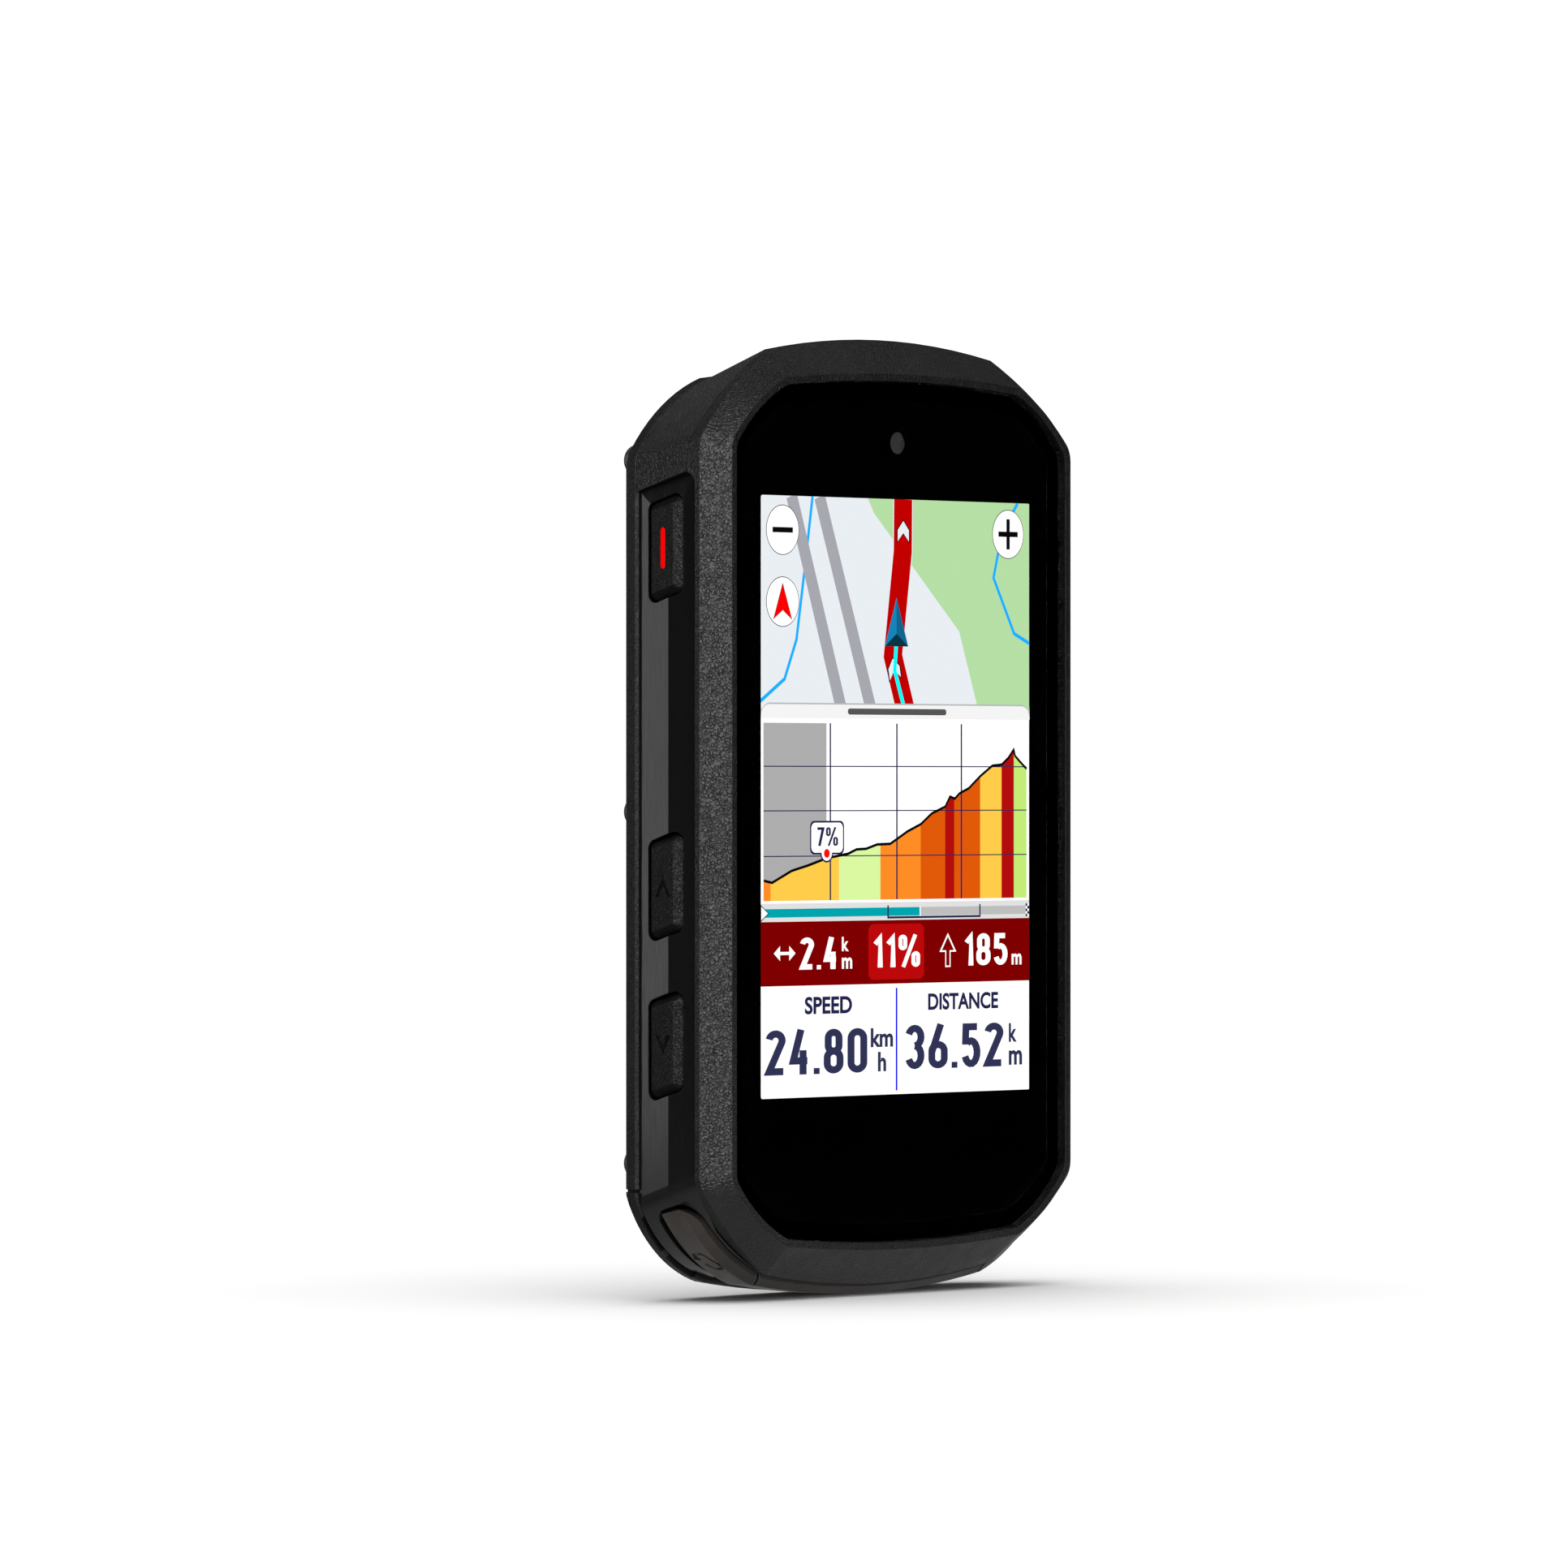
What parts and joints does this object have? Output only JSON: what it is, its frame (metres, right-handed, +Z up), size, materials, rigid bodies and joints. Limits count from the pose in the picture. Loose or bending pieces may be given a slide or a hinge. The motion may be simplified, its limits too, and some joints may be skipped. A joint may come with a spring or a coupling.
{
  "type": "cycling computer",
  "caption": "Handlebar cycling computer with a tall glass display, side keys, lower keys, a hinged port cap and a quarter-turn mounting puck on its back.",
  "frame": {"origin": "centre of the quarter-turn puck's rear face", "axes": "+X to the right seen from the front, +Y to the rear out of the puck, +Z up the display"},
  "size_m": [0.0544, 0.017, 0.0902],
  "materials": {
    "frame_shell": "fine moulded grain, satin",
    "gloss_band": "smooth and glossy",
    "key_grain": "fine moulded grain",
    "key_taupe": "satin, warm dark grey",
    "inlay_red": "smooth red",
    "rear_plastic": "very fine grain",
    "dark_screws": "black coated",
    "cover_glass": "polished",
    "display": "lit picture layer",
    "reflector": "white diffuser in a pressed tray",
    "elastomer": "matte",
    "circuit_board": "satin solder mask",
    "flex_circuit": "amber film",
    "steel": "plain",
    "magnesium": "cast, plain",
    "switch_body": "moulded",
    "ceramic": "fired, unglazed",
    "cell_pouch": "foil pouch",
    "foam": "closed-cell, self-adhesive",
    "membrane": "thin breathable film"
  },
  "bodies": {
    "case": {"backlight": "reflector", "battery": "cell_pouch", "battery_pads": "foam", "board_screws": "steel", "bottom_strip": "key_taupe", "bracket_screws": "steel", "button_seals": "elastomer", "buzzer": "switch_body", "cap_hinge_pin": "steel", "case_seal": "elastomer", "cover_glass": "cover_glass", "display_bracket": "magnesium", "display_flex": "flex_circuit", "display_panel": "display", "front_frame": "frame_shell", "glass_adhesive": "foam", "gnss_antenna": "ceramic", "left_key_flex": "flex_circuit", "left_key_switches": "switch_body", "light_sensor": "switch_body", "lower_key_flexes": "flex_circuit", "lower_key_switches": "switch_body", "main_board": "circuit_board", "mid_band": "gloss_band", "mount_puck": "rear_plastic", "port_board": "circuit_board", "port_seal": "elastomer", "pressure_sensor": "switch_body", "puck_screws": "dark_screws", "rear_cover": "rear_plastic", "rear_screws": "dark_screws", "right_key_flex": "flex_circuit", "right_key_switches": "switch_body", "shield_cans": "steel", "usb_c_receptacle": "steel", "vent_membrane": "membrane", "wireless_antenna": "ceramic"},
    "power_key": {"power_button": "key_grain", "power_button_clip": "steel", "power_button_inlay": "inlay_red"},
    "up_key": {"up_button": "key_grain", "up_button_clip": "steel"},
    "down_key": {"down_button": "key_grain", "down_button_clip": "steel"},
    "select_key": {"select_button": "key_grain", "select_button_clip": "steel"},
    "back_key": {"back_button": "key_grain", "back_button_clip": "steel"},
    "lap_key": {"lap_button": "key_taupe", "lap_button_clip": "steel"},
    "start_key": {"start_button": "key_taupe", "start_button_clip": "steel"},
    "cap": {"weather_cap": "rear_plastic"}
  },
  "joints": [
    {"name": "power_press", "type": "slide", "parent": "case", "child": "power_key", "axis": [1, 0, 0], "range_m": [0, 0.0004], "stiffness_N_per_m": 2500},
    {"name": "up_press", "type": "slide", "parent": "case", "child": "up_key", "axis": [1, 0, 0], "range_m": [0, 0.0004], "stiffness_N_per_m": 2500},
    {"name": "down_press", "type": "slide", "parent": "case", "child": "down_key", "axis": [1, 0, 0], "range_m": [0, 0.0004], "stiffness_N_per_m": 2500},
    {"name": "select_press", "type": "slide", "parent": "case", "child": "select_key", "axis": [-1, 0, 0], "range_m": [0, 0.0004], "stiffness_N_per_m": 2500},
    {"name": "back_press", "type": "slide", "parent": "case", "child": "back_key", "axis": [-1, 0, 0], "range_m": [0, 0.0004], "stiffness_N_per_m": 2500},
    {"name": "lap_press", "type": "slide", "parent": "case", "child": "lap_key", "axis": [0.6062, 0, 0.7953], "range_m": [0, 0.0004], "stiffness_N_per_m": 2500},
    {"name": "start_press", "type": "slide", "parent": "case", "child": "start_key", "axis": [-0.6062, 0, 0.7953], "range_m": [0, 0.0004], "stiffness_N_per_m": 2500},
    {"name": "cap_hinge", "type": "hinge", "parent": "case", "child": "cap", "pos_m": [0, -0.0051, -0.0354], "axis": [1, 0, 0], "range_deg": [0, 90]}
  ]
}
